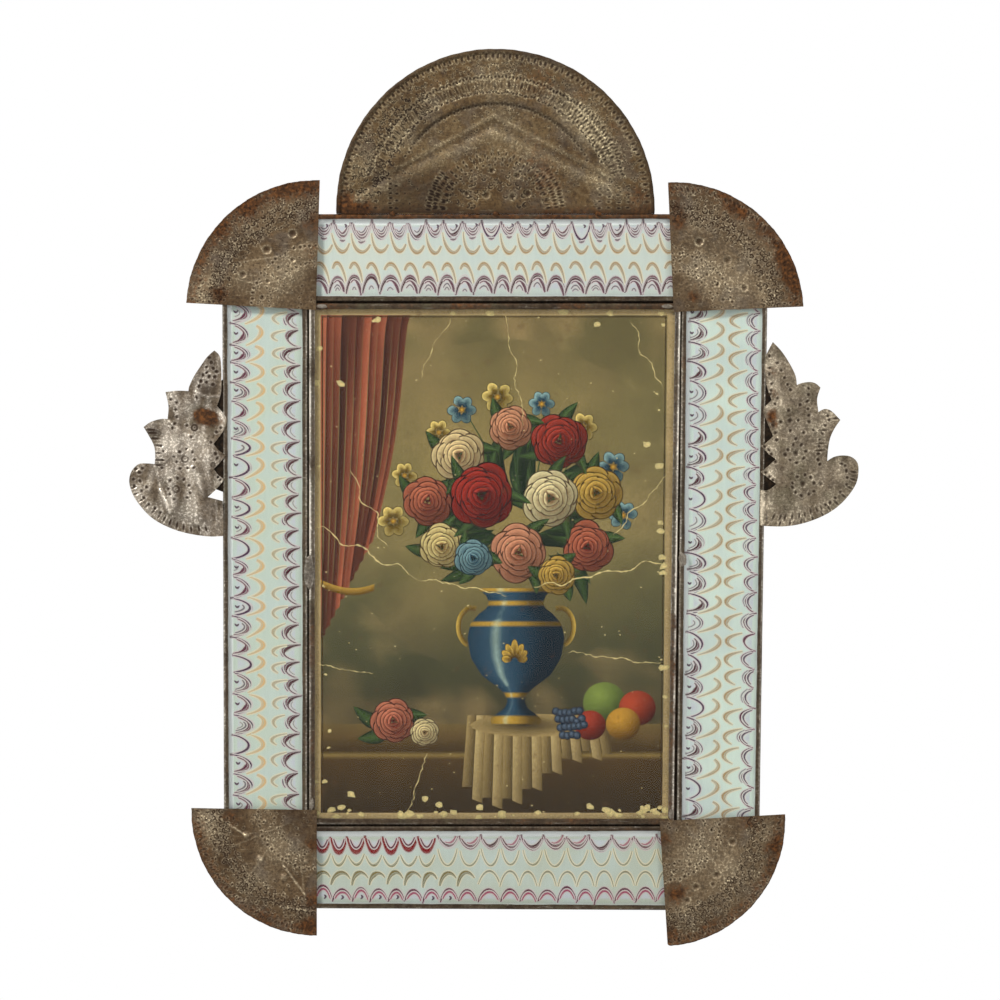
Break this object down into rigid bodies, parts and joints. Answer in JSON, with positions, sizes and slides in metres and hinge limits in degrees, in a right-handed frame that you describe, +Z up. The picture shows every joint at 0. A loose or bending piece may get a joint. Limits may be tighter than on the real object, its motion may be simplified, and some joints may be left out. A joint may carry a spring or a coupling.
{
  "type": "tin picture frame",
  "caption": "Wall picture frame of soldered tinplate: glazed window with a paper print, panels of combed painted glass, punched corners, half-round crest, side wings and a hanging ring.",
  "frame": {"origin": "middle of the picture window, on the rear face of its back plate, the face that lies towards the wall", "axes": "+Z up the wall, +X to the viewer's right, and -Y out of the front towards the viewer"},
  "size_m": [0.5106, 0.012, 0.6287],
  "materials": {
    "ornament_tin": "punched old tinplate, dulled brown with worn bright spots and rust",
    "binding_tin": "folded old tinplate, dull with bright creases",
    "back_tin": "plain old tinplate, grey with light rust",
    "solder": "dull grey tin-lead solder",
    "iron_wire": "dark iron wire with light rust",
    "cover_glass": "clear old window glass",
    "panel_glass": "clear old window glass",
    "combed_paint": "pale aqua oil paint with wine red and ochre combed scallops",
    "print_paper": "aged colour-printed paper with creases",
    "backing_board": "thin rough pine board"
  },
  "bodies": {
    "frame": {"back_plate": "back_tin", "backing_board": "backing_board", "bottom_painted_sheet": "combed_paint", "bottom_pane": "panel_glass", "bottom_panel_back": "back_tin", "bottom_panel_binding_bottom": "binding_tin", "bottom_panel_binding_left": "binding_tin", "bottom_panel_binding_right": "binding_tin", "bottom_panel_binding_top": "binding_tin", "corner_bottom_left": "ornament_tin", "corner_bottom_right": "ornament_tin", "corner_top_left": "ornament_tin", "corner_top_right": "ornament_tin", "cover_glass": "cover_glass", "crest": "ornament_tin", "hanger_strap": "back_tin", "left_painted_sheet": "combed_paint", "left_pane": "panel_glass", "left_panel_back": "back_tin", "left_panel_binding_bottom": "binding_tin", "left_panel_binding_left": "binding_tin", "left_panel_binding_right": "binding_tin", "left_panel_binding_top": "binding_tin", "picture_print": "print_paper", "right_painted_sheet": "combed_paint", "right_pane": "panel_glass", "right_panel_back": "back_tin", "right_panel_binding_bottom": "binding_tin", "right_panel_binding_left": "binding_tin", "right_panel_binding_right": "binding_tin", "right_panel_binding_top": "binding_tin", "solder_corner_bottom_left": "solder", "solder_corner_bottom_right": "solder", "solder_corner_top_left": "solder", "solder_corner_top_right": "solder", "solder_crest_left": "solder", "solder_crest_middle": "solder", "solder_crest_right": "solder", "solder_seam_bottom": "solder", "solder_seam_left": "solder", "solder_seam_right": "solder", "solder_seam_top": "solder", "solder_wing_left": "solder", "solder_wing_right": "solder", "top_painted_sheet": "combed_paint", "top_pane": "panel_glass", "top_panel_back": "back_tin", "top_panel_binding_bottom": "binding_tin", "top_panel_binding_left": "binding_tin", "top_panel_binding_right": "binding_tin", "top_panel_binding_top": "binding_tin", "window_binding_bottom": "binding_tin", "window_binding_left": "binding_tin", "window_binding_right": "binding_tin", "window_binding_top": "binding_tin", "wing_left": "ornament_tin", "wing_right": "ornament_tin"},
    "ring": {"hanging_ring": "iron_wire"}
  },
  "joints": [
    {"name": "ring_swing", "type": "hinge", "parent": "frame", "child": "ring", "pos_m": [0, 0.0004, 0.231], "axis": [1, 0, 0], "range_deg": [0, 175]}
  ]
}
